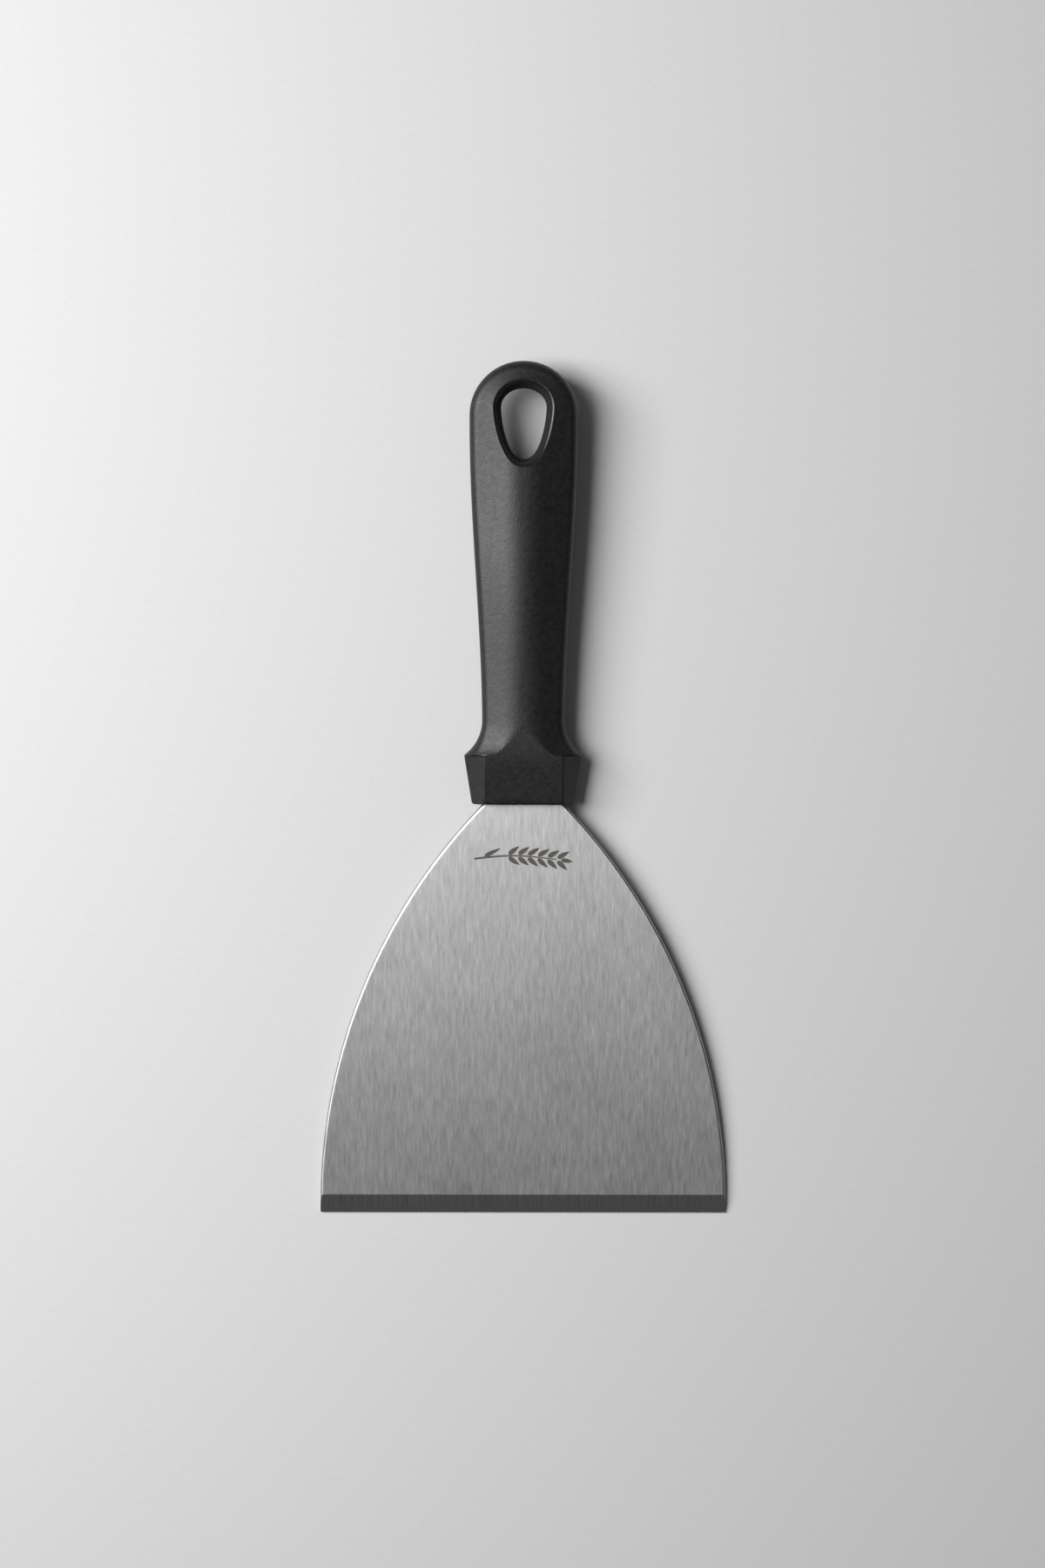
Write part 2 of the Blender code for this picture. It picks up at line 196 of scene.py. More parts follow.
def spread(start, end, steps):
    """Steps evenly spaced values from start up to but not including end."""
    return [start + (end - start) * step / steps for step in range(steps)]


def tool_frame():
    """The tool's own axes in the row frame, from the blade's stated face and its CAD box."""
    face = next(m for m in frame["record"]["mounts"] if m["name"] == "blade_upper_face")
    normal = Vector(face["axis"])
    lean = math.atan2(-normal.y, normal.z)
    along = Vector((0, math.cos(lean), math.sin(lean)))
    on_middle = Vector(face["pos_m"]) - normal * SHEET / 2
    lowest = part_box("blade")[0]
    edge_height = EDGE_THICKNESS - SHEET / 2
    origin_y = lowest.y + BLADE_REACH * math.cos(lean) + edge_height * math.sin(lean)
    origin = on_middle + along * (origin_y - on_middle.y) / along.y
    return Matrix.Translation(origin) @ Matrix.Rotation(lean, 4, "X")


TOOL = tool_frame()


# ---------------------------------------------------------------- mesh helpers


def add_strip(mesh, rows, flipped=False, finish=0):
    """Faces between each row of points and the next, with finish as their material's index.

    Returns the rows of vertices.
    """
    grid = [[mesh.verts.new(point) for point in row] for row in rows]
    for row, following in zip(grid, grid[1:]):
        for near, far, far_next, near_next in zip(row, row[1:], following[1:], following):
            corners = (near, far, far_next, near_next)
            face = mesh.faces.new(reversed(corners) if flipped else corners)
            face.material_index = finish
    return grid


def new_piece(name, mesh):
    piece = bpy.data.objects.new(name, mesh)
    bpy.context.scene.collection.objects.link(piece)
    return piece


def evaluated_mesh(piece, weld_distance):
    """The piece's mesh with its modifiers applied and its doubled points welded."""
    bpy.context.view_layer.update()
    evaluated = piece.evaluated_get(bpy.context.evaluated_depsgraph_get())
    mesh = bpy.data.meshes.new_from_object(evaluated)
    weld = bmesh.new()
    weld.from_mesh(mesh)
    bmesh.ops.remove_doubles(weld, verts=weld.verts, dist=weld_distance)
    weld.to_mesh(mesh)
    weld.free()
    return mesh


def settle(piece, crease):
    """Apply the piece's modifiers, weld it, and shade it smooth but for its real corners."""
    mesh = evaluated_mesh(piece, WELD_DISTANCE)
    piece.modifiers.clear()
    piece.data = mesh
    mesh.shade_smooth()
    mesh.set_sharp_from_angle(angle=crease)


def mirror(piece, across_z):
    modifier = piece.modifiers.new("other sides", "MIRROR")
    modifier.use_axis = (True, False, across_z)
    modifier.merge_threshold = 2 * WELD_DISTANCE


def cut(piece, cutter):
    boolean = piece.modifiers.new("cut", "BOOLEAN")
    boolean.object = cutter
    boolean.operation = "DIFFERENCE"
    boolean.solver = "EXACT"


# ---------------------------------------------------------------- blade


def bevel_height(y):
    """Height of the ground bevel's plane at y."""
    slope = (SHEET - EDGE_THICKNESS) / BEVEL_WIDTH
    return EDGE_THICKNESS - SHEET / 2 + (y + BLADE_REACH) * slope


def arc_centre():
    return Vector((EDGE_WIDTH / 2 - SIDE_RADIUS, SIDE_ARC_RISE - BLADE_REACH))


def shoulder_y(offset=0.0):
    """Where the blade's curved side has narrowed to the tang's width."""
    centre = arc_centre()
    run = TANG_HALF_WIDTH + offset - centre.x
    return centre.y + math.sqrt((SIDE_RADIUS + offset) ** 2 - run ** 2)


def blade_outline():
    """The right-hand outline from working edge to tang end, as pairs of point and inward direction."""
    centre = arc_centre()
    inwards = Vector((-1, 0))
    bevel_line = BEVEL_WIDTH - BLADE_REACH
    ys = spread(-BLADE_REACH, bevel_line - BEVEL_LINE_ZONE, 5)
    ys += spread(bevel_line - BEVEL_LINE_ZONE, bevel_line + BEVEL_LINE_ZONE, 8)
    pairs = []
    for y in ys:
        rise = max(y - centre.y, 0)
        pairs.append((Vector((centre.x + math.sqrt(SIDE_RADIUS ** 2 - rise ** 2), y)), inwards))
    start = math.asin((bevel_line + BEVEL_LINE_ZONE - centre.y) / SIDE_RADIUS)
    end = math.asin((shoulder_y() - centre.y) / SIDE_RADIUS)
    for angle in spread(start, end, BLADE_SIDE_STEPS):
        pairs.append((centre + SIDE_RADIUS * direction(angle), -direction(angle)))

    corner_y = TANG_END - TANG_CORNER
    shoulder = Vector((TANG_HALF_WIDTH, shoulder_y()))
    pairs.append((shoulder, -direction(end / 2)))
    for y in spread(shoulder.y + TANG_FIRST_STEP, corner_y, 8):
        pairs.append((Vector((TANG_HALF_WIDTH, y)), inwards))
    corner = Vector((TANG_HALF_WIDTH - TANG_CORNER, corner_y))
    angles = spread(0, math.radians(90), 8) + [math.radians(90)]
    pairs += [(corner + TANG_CORNER * direction(a), inwards) for a in angles]
    return pairs


def edge_profile():
    """The sheet's rounded side from top to bottom, as pairs of inset and height."""
    straight = SHEET / 2 - EDGE_ROUND
    profile = [(EDGE_ROUND + FLAT_SUPPORT, SHEET / 2)]
    quarter = spread(math.radians(90), 0, 8) + [0]
    profile += [(EDGE_ROUND * (1 - math.cos(a)), straight + EDGE_ROUND * math.sin(a)) for a in quarter]
    return profile + [(inset, -height) for inset, height in reversed(profile)]


def blade_row(point, inwards):
    """Points over the right half of the sheet: from its middle, round the side, to the middle below."""
    row = []
    for inset, height in edge_profile():
        place = point + inwards * inset
        row.append(Vector((*place, soft_min(height, bevel_height(place.y), BEVEL_LINE_SOFTNESS))))
    top = soft_min(SHEET / 2, bevel_height(point.y), BEVEL_LINE_SOFTNESS)
    return [Vector((0, point.y, top))] + row + [Vector((0, point.y, -SHEET / 2))]


def lock_hole_cutter():
    mesh = bmesh.new()
    for y in LOCK_HOLES_Y:
        bmesh.ops.create_cone(
            mesh,
            cap_ends=True,
            segments=LOCK_HOLE_SIDES,
            radius1=LOCK_HOLE_RADIUS,
            radius2=LOCK_HOLE_RADIUS,
            depth=4 * SHEET,
            matrix=Matrix.Translation((0, y, 0)),
        )
    holes = bpy.data.meshes.new("lock_holes")
    mesh.to_mesh(holes)
    mesh.free()
    return new_piece("lock_holes", holes)


def make_blade():
    rows = [blade_row(point, inwards) for point, inwards in blade_outline()]
    mesh = bmesh.new()
    grid = add_strip(mesh, rows)
    mesh.faces.new(grid[0][::-1])
    mesh.faces.new(grid[-1])
    half = bpy.data.meshes.new("blade_brushed")
    mesh.to_mesh(half)
    mesh.free()

    blade = new_piece("blade_brushed", half)
    mirror(blade, across_z=False)
    holes = lock_hole_cutter()
    cut(blade, holes)
    settle(blade, BLADE_CREASE)
    bpy.data.objects.remove(holes)

    # Finishes: 0 brushed faces, 1 ground bevel, 2 polished edges.
    bevel_line = BEVEL_WIDTH - BLADE_REACH
    for polygon in blade.data.polygons:
        flat = abs(polygon.normal.z) > BRUSHED_MIN_Z
        facing_up = polygon.normal.z > BEVEL_MIN_Z
        if polygon.center.y < bevel_line and facing_up and not flat:
            polygon.material_index = 1
        elif not flat:
            polygon.material_index = 2

    # The map's first axis runs across the blade, square to the brushing.
    grain = blade.data.uv_layers.new(name="Grain")
    for loop, corner in zip(blade.data.loops, grain.data):
        place = blade.data.vertices[loop.vertex_index].co
        corner.uv = (place.x / EDGE_WIDTH + 0.5, place.y / EDGE_WIDTH + 1)
    return blade


# ---------------------------------------------------------------- mark


def grain_outline(base, heading, length, width):
    """A wheat grain's outline: round at its base, drawn to a point at its tip."""
    along = direction(heading)
    across = Vector((-along.y, along.x))
    sides = {1: [], -1: []}
    for turn in spread(0, math.radians(180), 14):
        reach = (1 - math.cos(turn)) / 2
        swell = GRAIN_FULLNESS * width * math.sqrt(reach) * (1 - reach)
        for side, points in sides.items():
            points.append(base + along * length * reach + across * side * swell)
    return sides[-1] + [base + along * length] + sides[1][:0:-1]


def stroke_outline(path, width):
    """A line of tapering width along a path of points."""
    left = []
    right = []
    for index, point in enumerate(path):
        ahead = path[min(index + 1, len(path) - 1)] - path[max(index - 1, 0)]
        across = Vector((-ahead.y, ahead.x)).normalized()
        half = width / 2 * (1 - 0.5 * index / (len(path) - 1))
        left.append(point + across * half)
        right.append(point - across * half)
    return right + left[::-1]


def ear_stalk(amount):
    """Point on the ear's stalk, from its foot at 0 to its tip at 1."""
    sway = STALK_SWAY * math.sin(STALK_TURN * amount)
    return Vector((-MARK_HALF_LENGTH + STALK_SIZE[0] * amount, sway - STALK_DROP))


def ear_outlines():
    """An ear of wheat lying on its side: stalk, leaf, pairs of grains and a grain at the tip."""
    outlines = [stroke_outline([ear_stalk(a) for a in spread(0, 1, 24)], STALK_SIZE[1])]
    for index in range(GRAIN_PAIRS):
        amount = FIRST_PAIR_PLACE + (LAST_PAIR_PLACE - FIRST_PAIR_PLACE) * index / (GRAIN_PAIRS - 1)
        root = ear_stalk(amount)
        ahead = ear_stalk(amount + 0.01) - root
        heading = math.atan2(ahead.y, ahead.x)
        across = Vector((-math.sin(heading), math.cos(heading)))
        for side in (-1, 1):
            base = root + across * side * GRAIN_OFFSET
            outlines.append(grain_outline(base, heading + side * GRAIN_SPLAY, *GRAIN_SIZE))
    outlines.append(grain_outline(ear_stalk(TIP_GRAIN_PLACE), TIP_GRAIN_HEADING, *TIP_GRAIN_SIZE))
    leaf = ear_stalk(LEAF_PLACE) + Vector((0, LEAF_OFFSET))
    outlines.append(grain_outline(leaf, LEAF_HEADING, *LEAF_SIZE))
    return outlines


def make_mark():
    """An ear of wheat etched on the upper face."""
    mesh = bmesh.new()
    low = SHEET / 2 - MARK_SUNK
    high = SHEET / 2 + MARK_PROUD
    for outline in ear_outlines():
        lower = [mesh.verts.new((point.x, point.y + MARK_CENTRE_Y, low)) for point in outline]
        upper = [mesh.verts.new((point.x, point.y + MARK_CENTRE_Y, high)) for point in outline]
        mesh.faces.new(upper)
        mesh.faces.new(lower[::-1])
        for index, corner in enumerate(upper):
            mesh.faces.new((upper[index - 1], lower[index - 1], lower[index], corner))
    etched = bpy.data.meshes.new("blade_etched_wheat_mark")
    mesh.to_mesh(etched)
    mesh.free()
    return new_piece("blade_etched_wheat_mark", etched)


# ---------------------------------------------------------------- handle


class Section:
    """One quarter of the handle's cross-section: a flat crown, a sloping facet and an upright side.

    It runs from the crown's middle (0, half_depth) to the parting line (half_width, 0).
    """

    FLAT_SHARES = (0, 0.35, 0.7, 0.95)
    CROWN_STEPS = 8
    FACET_SHARES = (0, 0.04, 0.2, 0.4, 0.6, 0.8, 0.96, 1)
    SIDE_STEPS = 10

    def __init__(self, half_width, half_depth, crown, band, crown_radius, side_radius):
        self.half_width = half_width
        self.half_depth = half_depth
        self.normal = math.atan2(half_width - crown, half_depth - band)
        crown_turn = (math.radians(90) - self.normal) / 2
        crown_tilt = (math.radians(90) + self.normal) / 2
        reach = crown_radius / math.cos(crown_turn)
        self.crown_radius = crown_radius
        self.crown_centre = Vector((crown - reach * math.cos(crown_tilt), half_depth - crown_radius))
        side_reach = side_radius / math.cos(self.normal / 2)
        self.side_radius = side_radius
        side_height = band - side_reach * math.sin(self.normal / 2)
        self.side_centre = Vector((half_width - side_radius, side_height))
        self.facet_start = self.crown_centre + crown_radius * direction(self.normal)
        self.facet_end = self.side_centre + side_radius * direction(self.normal)

    def height(self, out):
        """Height of the upper skin at this distance out, as far as the facet's end."""
        if out <= self.crown_centre.x:
            return self.half_depth
        if out <= self.facet_start.x:
            run = out - self.crown_centre.x
            return self.crown_centre.y + math.sqrt(self.crown_radius ** 2 - run ** 2)
        along = (out - self.facet_start.x) / (self.facet_end.x - self.facet_start.x)
        return self.facet_start.y + along * (self.facet_end.y - self.facet_start.y)

    def skin(self, inner):
        """Points (out, height) from the distance inner to the parting line."""
        outs = [self.crown_centre.x * share for share in self.FLAT_SHARES]
        for angle in spread(math.radians(90), self.normal, self.CROWN_STEPS):
            outs.append(self.crown_centre.x + self.crown_radius * math.cos(angle))
        facet = self.facet_end.x - self.facet_start.x
        outs += [self.facet_start.x + facet * share for share in self.FACET_SHARES]
        squeeze = (self.facet_end.x - inner) / self.facet_end.x
        points = [(inner + out * squeeze, self.height(inner + out * squeeze)) for out in outs]
        for step in range(1, self.SIDE_STEPS + 1):
            angle = self.normal * (1 - step / self.SIDE_STEPS)
            rounded = self.side_centre + self.side_radius * direction(angle)
            points.append((rounded.x, rounded.y))

        # The side's last stretch ends in the parting groove, which narrows where the side is too low.
        low = points[-1][1]
        groove = PARTING_GROOVE_HALF_WIDTH
        if low > 2 * groove:
            points.append((self.half_width, (low + groove) / 2))
        else:
            points.append((self.half_width, low * 0.9))
        points.append((self.half_width, min(groove, low * 0.8)))
        points.append((self.half_width - PARTING_GROOVE, 0.0))
        return points


def grip_half_width(y):
    return blend(NECK_HALF_WIDTH, BUTT_RADIUS, (y - SWELL_START) / (SWELL_END - SWELL_START))


def grip_half_depth(y):
    palm = (FLARE_TOP + BUTT_CENTRE) / 2
    if y < palm:
        return blend(NECK_HALF_DEPTH, PALM_HALF_DEPTH, (y - FLARE_TOP) / (palm - FLARE_TOP))
    return blend(PALM_HALF_DEPTH, BUTT_HALF_DEPTH, (y - palm) / (BUTT_CENTRE - palm))


def section_at(y, inset=0.0):
    """The handle's section at y, drawn in by inset where the collar's front edge is rounded."""
    up_collar = y / COLLAR_TOP
    collar_width = COLLAR_FRONT_HALF_WIDTH + up_collar * (COLLAR_TOP_HALF_WIDTH - COLLAR_FRONT_HALF_WIDTH)
    collar_depth = COLLAR_FRONT_HALF_DEPTH + up_collar * (COLLAR_TOP_HALF_DEPTH - COLLAR_FRONT_HALF_DEPTH)
    below_neck = min(max(FLARE_TOP - y, 0), FLARE_RADIUS)
    scoop = FLARE_RADIUS - math.sqrt(FLARE_RADIUS ** 2 - below_neck ** 2)
    half_width = soft_min(collar_width, grip_half_width(y) + scoop, COLLAR_CORNER_SOFTNESS)
    half_depth = soft_min(collar_depth, grip_half_depth(y), COLLAR_CORNER_SOFTNESS)

    # Up the flare the collar's flat face narrows to the grip's crown along a quarter ellipse. The scoops
    # beside it open over a short run at the collar's edge.
    up_flare = min(max((y - COLLAR_TOP) / (FLARE_TOP - COLLAR_TOP), 0), 1)
    narrowing = 1 - math.sqrt(1 - (1 - up_flare) ** 2)
    crown = GRIP_CROWN_HALF_WIDTH + narrowing * (COLLAR_FACE_HALF_WIDTH - GRIP_CROWN_HALF_WIDTH)
    scoop_rise = (y - COLLAR_TOP + COLLAR_CORNER_SOFTNESS) / SCOOP_RUN
    return Section(
        half_width - inset,
        half_depth - inset,
        crown - inset / 2,
        blend(COLLAR_SIDE_BAND, GRIP_SIDE_BAND, scoop_rise),
        blend(COLLAR_FACE_EDGE_RADIUS, GRIP_CROWN_RADIUS, up_flare),
        blend(COLLAR_SIDE_RADIUS, blend(FLARE_SIDE_RADIUS, GRIP_SIDE_RADIUS, up_flare), scoop_rise),
    )


def teardrop(angle, inset=0.0):
    """Point of the hang hole's outline: -90 degrees is its nose, +90 its wide end, by the butt."""
    out = max(math.cos(angle), 0)
    along = math.sin(angle)
    half_width = HOLE_HALF_WIDTH - inset
    if along >= 0:
        return Vector((half_width * out, HOLE_CENTRE + (HOLE_ABOVE - inset * HOLE_TOP_DRAFT) * along))
    power = HOLE_SIDE_POWER + (HOLE_NOSE_POWER - HOLE_SIDE_POWER) * along ** 2
    length = HOLE_BELOW - inset
    return Vector((half_width * out ** (2 / power), HOLE_CENTRE - length * (-along) ** (2 / power)))


def across_rib(y, inset=0.0):
    return [Vector((out, y, height)) for out, height in section_at(y, inset).skin(0)]


def front_ribs():
    """Ribs round the collar's front edge, from its flat front face."""
    ribs = []
    for inset in (COLLAR_FRONT_RADIUS + FLAT_SUPPORT, COLLAR_FRONT_RADIUS + FLAT_SUPPORT / 8):
        ribs.append([Vector((point.x, 0, point.z)) for point in across_rib(0, inset)])
    for angle in spread(0, math.radians(90), 7):
        y = COLLAR_FRONT_RADIUS * (1 - math.cos(angle))
        ribs.append(across_rib(y, COLLAR_FRONT_RADIUS * (1 - math.sin(angle))))
    return ribs


def shaft_ribs():
    """Ribs across the tool from the collar's front to the nose of the hang hole."""
    corner = COLLAR_TOP - COLLAR_CORNER_SOFTNESS
    flare = COLLAR_TOP + COLLAR_CORNER_ZONE
    nose = HOLE_CENTRE - HOLE_BELOW
    ys = spread(COLLAR_FRONT_RADIUS, corner - COLLAR_CORNER_ZONE, 8)
    ys += spread(corner - COLLAR_CORNER_ZONE, corner, 4)
    ys += spread(corner, flare, 24)
    ys += [flare + (FLARE_TOP - flare) * share ** FLARE_CROWDING for share in spread(0, 1, 40)]
    ys += spread(FLARE_TOP, nose, 70)
    return [across_rib(y) for y in ys]


def skin_height(place):
    """Height of the handle's upper skin, carried on across the hang hole."""
    spine_y = min(place.y, BUTT_CENTRE)
    return section_at(spine_y).height((place - Vector((0, spine_y))).length)


def hole_wall(angle):
    """Points over the hang hole's round rim, and from there down its drafted wall to the parting line."""
    rim = []
    for turn in spread(0, HOLE_RIM_TURN, 12) + [HOLE_RIM_TURN]:
        place = teardrop(angle, HOLE_RIM_RADIUS * math.sin(turn))
        drop = HOLE_RIM_RADIUS * (1 - math.cos(turn))
        rim.append(Vector((*place, skin_height(place) - drop)))
    bottom = Vector((*teardrop(angle, HOLE_WALL_INSET), 0))
    wall = [rim[-1].lerp(bottom, share) for share in HOLE_WALL_SHARES]
    return rim, wall


def hole_ribs():
    """Ribs from the hang hole outwards, and with each the points over the hole's rim and down its wall.

    Beside the hole they run straight across, and round the butt they fan out from its centre.
    """
    ribs = []
    rims = []
    walls = []
    half_turn = math.radians(90)
    for angle in spread(-half_turn, half_turn, HOLE_STEPS) + [half_turn]:
        start = teardrop(angle)
        spine = Vector((0, min(start.y, BUTT_CENTRE)))
        outwards = Vector((1, 0)) if start.y <= BUTT_CENTRE else (start - spine).normalized()
        rib = []
        for out, height in section_at(spine.y).skin((start - spine).length):
            place = spine + out * outwards
            rib.append(Vector((place.x, place.y, height)))
        rim, wall = hole_wall(angle)
        ribs.append(rib)
        rims.append(rim)
        walls.append(wall)
    return ribs, rims, walls


def pocket_cutter():
    """The tang's shape with the fitting gap added, holed where the plastic fills the locking holes."""
    centre = arc_centre()
    radius = SIDE_RADIUS + FIT_GAP
    in_front = -3 * COLLAR_FRONT_RADIUS
    ys = spread(in_front, shoulder_y(FIT_GAP), 12)
    right = [Vector((centre.x + math.sqrt(radius ** 2 - (y - centre.y) ** 2), y)) for y in ys]
    corner_radius = TANG_CORNER + FIT_GAP
    corner = Vector((TANG_HALF_WIDTH - TANG_CORNER, TANG_END - TANG_CORNER))
    right.append(Vector((TANG_HALF_WIDTH + FIT_GAP, shoulder_y(FIT_GAP))))
    right += [corner + corner_radius * direction(a) for a in spread(0, math.radians(90), 8)]
    right.append(corner + Vector((0, corner_radius)))
    loops = [right + [Vector((-point.x, point.y)) for point in reversed(right)]]
    for y in LOCK_HOLES_Y:
        peg = spread(0, math.radians(360), LOCK_HOLE_SIDES)
        loops.append([Vector((0, y)) + (LOCK_HOLE_RADIUS - FIT_GAP) * direction(a) for a in peg])

    outline = bpy.data.curves.new("tang_pocket", "CURVE")
    outline.dimensions = "2D"
    outline.fill_mode = "BOTH"
    outline.extrude = SHEET / 2 + FIT_GAP
    for loop in loops:
        spline = outline.splines.new("POLY")
        spline.points.add(len(loop) - 1)
        for point, place in zip(spline.points, loop):
            point.co = (*place, 0, 1)
        spline.use_cyclic_u = True
    guide = new_piece("tang_pocket_outline", outline)
    mesh = evaluated_mesh(guide, 10 * WELD_DISTANCE)
    bpy.data.objects.remove(guide)
    return new_piece("tang_pocket", mesh)


def make_handle():
    ribs, rims, walls = hole_ribs()
    mesh = bmesh.new()

    # Finishes: 0 moulded skin, 1 the hole's rim, 2 the hole's wall, made dark there as painted shade.
    skin = add_strip(mesh, front_ribs() + shaft_ribs() + ribs)
    add_strip(mesh, rims, flipped=True, finish=1)
    add_strip(mesh, walls, flipped=True, finish=2)
    mesh.faces.new([mesh.verts.new((0, 0, 0))] + skin[0][::-1])
    bmesh.ops.remove_doubles(mesh, verts=mesh.verts, dist=WELD_DISTANCE)
    quarter = bpy.data.meshes.new("handle_moulded")
    mesh.to_mesh(quarter)
    mesh.free()

    handle = new_piece("handle_moulded", quarter)
    mirror(handle, across_z=True)
    pocket = pocket_cutter()
    cut(handle, pocket)
    settle(handle, HANDLE_CREASE)
    bpy.data.objects.remove(pocket)
    return handle


# ---------------------------------------------------------------- materials


class Shader:
    """A material under construction: its nodes are added and linked by short calls."""

    # Most of the noise lies between these.
    NOISE_LOW = 0.3
    NOISE_HIGH = 0.7

    def __init__(self, name):
        self.material = bpy.data.materials.new(name)
        self.material.use_nodes = True
        self.tree = self.material.node_tree
        self.surface = self.tree.nodes["Principled BSDF"]

    def add(self, kind, settings=None, **inputs):
        """A node whose inputs, named with _ for a space, are values or another node's outputs."""
        node = self.tree.nodes.new("ShaderNode" + kind)
        for key, value in (settings or {}).items():
            setattr(node, key, value)
        for key, value in inputs.items():
            self.join(node, key.replace("_", " "), value)
        return node

    def join(self, node, socket, value):
        if isinstance(value, bpy.types.NodeSocket):
            self.tree.links.new(value, node.inputs[socket])
        else:
            node.inputs[socket].default_value = value

    def set(self, **inputs):
        for key, value in inputs.items():
            self.join(self.surface, key.replace("_", " "), value)

    def noise(self, scale, detail=2.0, roughness=0.5, offset=(0, 0, 0)):
        """Noise in the shared frame's axes; scale is features per metre along each axis."""
        place = self.add("TexCoord").outputs["Object"]
        mapped = self.add("Mapping", Vector=place, Scale=scale, Location=offset).outputs["Vector"]
        made = self.add("TexNoise", Vector=mapped, Scale=1.0, Detail=detail, Roughness=roughness)
        return made.outputs["Fac"]

    def to_range(self, noise, low, high):
        """Noise stretched to run from low to high, and held between them."""
        node = self.add("MapRange", Value=noise)
        node.inputs["From Min"].default_value = self.NOISE_LOW
        node.inputs["From Max"].default_value = self.NOISE_HIGH
        node.inputs["To Min"].default_value = low
        node.inputs["To Max"].default_value = high
        return node.outputs["Result"]

    def maths(self, operation, first, second):
        node = self.add("Math", {"operation": operation})
        self.join(node, 0, first)
        self.join(node, 1, second)
        return node.outputs["Value"]

    def mean(self, first, second, share=0.5):
        """First and second mixed, with this share of the first."""
        return self.maths(
            "ADD",
            self.maths("MULTIPLY", first, share),
            self.maths("MULTIPLY", second, 1 - share),
        )

    def grey(self, value):
        node = self.add("CombineColor", Red=value, Green=value, Blue=value)
        return node.outputs["Color"]

    def bump(self, height, strength, distance):
        return self.add("Bump", Height=height, Strength=strength, Distance=distance).outputs["Normal"]


def brushed_steel():
    """Satin stainless brushed along the tool in short strokes, fine and broad, with soft clouding."""
    shader = Shader("brushed_stainless")
    fine = shader.noise((2400, 240, 1), detail=3, roughness=0.6)
    coarse = shader.noise((900, 130, 1), detail=2, offset=(3, 5, 0))
    cloud = shader.noise((45, 30, 1), detail=3, offset=(7, 1, 0))
    lines = shader.mean(fine, coarse, share=0.6)
    clouding = shader.to_range(cloud, 0.985, 1.015)
    sheen_change = shader.to_range(cloud, -0.008, 0.008)
    tangent = shader.add("Tangent", {"direction_type": "UV_MAP", "uv_map": "Grain"})
    shader.set(
        Base_Color=shader.grey(shader.maths("MULTIPLY", shader.to_range(lines, 0.50, 0.68), clouding)),
        Metallic=1.0,
        Roughness=shader.maths("ADD", shader.to_range(lines, 0.36, 0.42), sheen_change),
        Anisotropic=0.7,
        Tangent=tangent.outputs["Tangent"],
        Normal=shader.bump(lines, 0.12, 0.02 * MM),
    )
    return shader.material


def ground_bevel():
    """The bevel's finer and duller grind."""
    shader = Shader("ground_bevel")
    fine = shader.noise((5200, 120, 1), detail=3, roughness=0.6)
    shader.set(
        Base_Color=shader.grey(shader.to_range(fine, 0.44, 0.56)),
        Metallic=1.0,
        Roughness=shader.to_range(fine, 0.24, 0.34),
        Normal=shader.bump(fine, 0.2, 0.01 * MM),
    )
    return shader.material


def polished_edge():
    """Tumbled and polished sides of the sheet."""
    shader = Shader("polished_edge")
    wear = shader.noise((260, 260, 260), detail=4)
    shader.set(
        Base_Color=shader.grey(shader.to_range(wear, 0.38, 0.48)),
        Metallic=1.0,
        Roughness=shader.to_range(wear, 0.36, 0.46),
    )
    return shader.material


def etched_mark():
    """Laser-etched steel: matt, brown-grey and slightly uneven."""
    shader = Shader("laser_etched_steel")
    speck = shader.noise((2600, 2600, 1), detail=2)
    mix = shader.add("Mix", {"data_type": "RGBA"}, Factor=shader.to_range(speck, 0, 1))
    mix.inputs["A"].default_value = (0.085, 0.074, 0.066, 1)
    mix.inputs["B"].default_value = (0.150, 0.134, 0.122, 1)
    shader.set(
        Base_Color=mix.outputs["Result"],
        Metallic=0.35,
        Roughness=shader.to_range(speck, 0.6, 0.8),
    )
    return shader.material


def moulded_plastic():
    """Black polypropylene from a spark-eroded mould: fine pebble, faint mottling, handled sheen."""
    shader = Shader("black_moulded_plastic")
    pebble = shader.noise((2400, 2400, 2400), detail=3, roughness=0.55)
    mottle = shader.noise((650, 650, 650), detail=3, roughness=0.65, offset=(2, 9, 4))
    hand = shader.noise((28, 22, 28), detail=3, offset=(5, 3, 8))
    skin = shader.mean(pebble, mottle)
    pitting = shader.to_range(pebble, 0.85, 1.2)
    unevenness = shader.to_range(skin, -0.08, 0.08)
    shader.set(
        Base_Color=shader.grey(shader.maths("MULTIPLY", shader.to_range(mottle, 0.005, 0.012), pitting)),
        Roughness=shader.maths("ADD", shader.to_range(hand, 0.41, 0.47), unevenness),
        Normal=shader.bump(skin, 0.6, 0.16 * MM),
    )
    return shader.material


def hole_rim_plastic():
    """The same plastic where hooks and fingers have rubbed the rim smoother."""
    shader = Shader("black_rubbed_rim")
    wear = shader.noise((650, 650, 650), detail=3)
    shader.set(
        Base_Color=shader.grey(shader.to_range(wear, 0.008, 0.012)),
        Roughness=shader.to_range(wear, 0.26, 0.34),
    )
    return shader.material


def hole_wall_painted_shade():
    """The same plastic in the hole, with a coarser, dead matt texture and its reflection turned down as
    painted shade in the hole.
    """
    shader = Shader("black_matt_hole_wall_painted_shade")
    texture = shader.noise((1800, 1800, 1800), detail=3)
    shader.set(
        Base_Color=shader.grey(shader.to_range(texture, 0.016, 0.024)),
        Roughness=shader.to_range(texture, 0.75, 0.9),
        # painted shade: the wall reflects far less than the rest of the plastic, so the hole reads dark
        Specular_IOR_Level=0.2,
        Normal=shader.bump(texture, 0.5, 0.08 * MM),
    )
    return shader.material


def floor_paint():
    shader = Shader("pale_floor")
    grain = shader.noise((700, 700, 700), detail=3)
    shader.set(Base_Color=shader.grey(shader.to_range(grain, 0.705, 0.725)), Roughness=0.85)
    return shader.material


# ---------------------------------------------------------------- stage


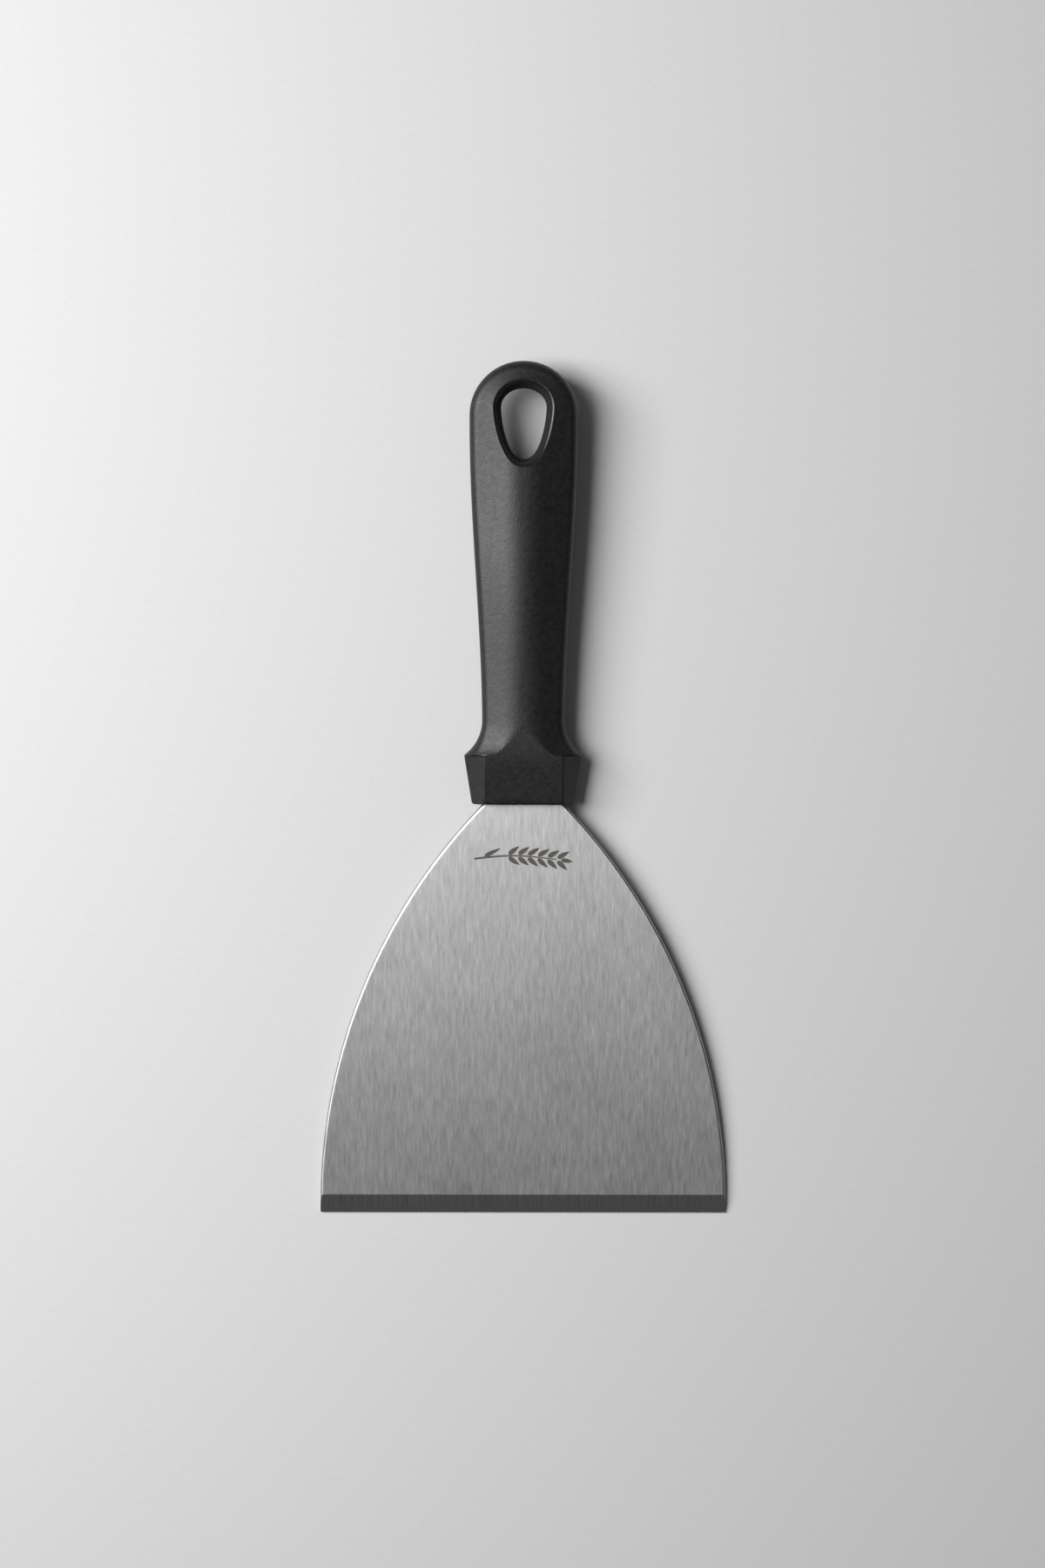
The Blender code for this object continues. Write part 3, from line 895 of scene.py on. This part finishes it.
def make_floor():
    signs = ((-1, -1), (1, -1), (1, 1), (-1, 1))
    corners = [(FLOOR_HALF * x, FLOOR_HALF * y, -FLOOR_DROP) for x, y in signs]
    mesh = bpy.data.meshes.new("floor")
    mesh.from_pydata(corners, [], [(0, 1, 2, 3)])
    floor = new_piece("floor", mesh)
    floor.data.materials.append(floor_paint())


def aim(obj, place, target):
    obj.location = place
    obj.rotation_euler = (Vector(target) - Vector(place)).to_track_quat("-Z", "Y").to_euler()


def add_softbox(name, place, target, size, power):
    light = bpy.data.lights.new(name, "AREA")
    light.shape = "RECTANGLE"
    light.size, light.size_y = size
    light.energy = power
    lamp = bpy.data.objects.new(name, light)
    bpy.context.scene.collection.objects.link(lamp)
    aim(lamp, place, target)


def make_lights():
    add_softbox("key_softbox", KEY_PLACE, KEY_TARGET, KEY_SIZE, KEY_POWER)
    world = bpy.data.worlds.new("studio")
    world.use_nodes = True
    background = world.node_tree.nodes["Background"]
    background.inputs["Color"].default_value = FILL_COLOUR
    background.inputs["Strength"].default_value = FILL_STRENGTH
    bpy.context.scene.world = world


def make_camera():
    camera = bpy.data.cameras.new("camera")
    camera.sensor_fit = "VERTICAL"
    camera.angle = 2 * math.atan(PICTURE_HEIGHT / 2 / CAMERA_HEIGHT)
    camera.clip_start = CAMERA_CLIP
    eye = bpy.data.objects.new("camera", camera)
    bpy.context.scene.collection.objects.link(eye)
    eye.location = (CAMERA_X, CAMERA_Y, CAMERA_HEIGHT)
    eye.rotation_euler.z = CAMERA_ROLL
    bpy.context.scene.camera = eye


def main():
    bpy.context.scene.view_settings.view_transform = "Standard"
    blade = make_blade()
    for material in (brushed_steel(), ground_bevel(), polished_edge()):
        blade.data.materials.append(material)
    mark = make_mark()
    mark.data.materials.append(etched_mark())
    handle = make_handle()
    for material in (moulded_plastic(), hole_rim_plastic(), hole_wall_painted_shade()):
        handle.data.materials.append(material)

    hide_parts("blade")
    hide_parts("handle")
    for piece, slot in ((blade, "blade_steel"), (mark, "blade_steel"), (handle, "handle_plastic")):
        piece.data.transform(TOOL)
        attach(piece, "root")

    make_floor()
    make_lights()
    make_camera()


main()
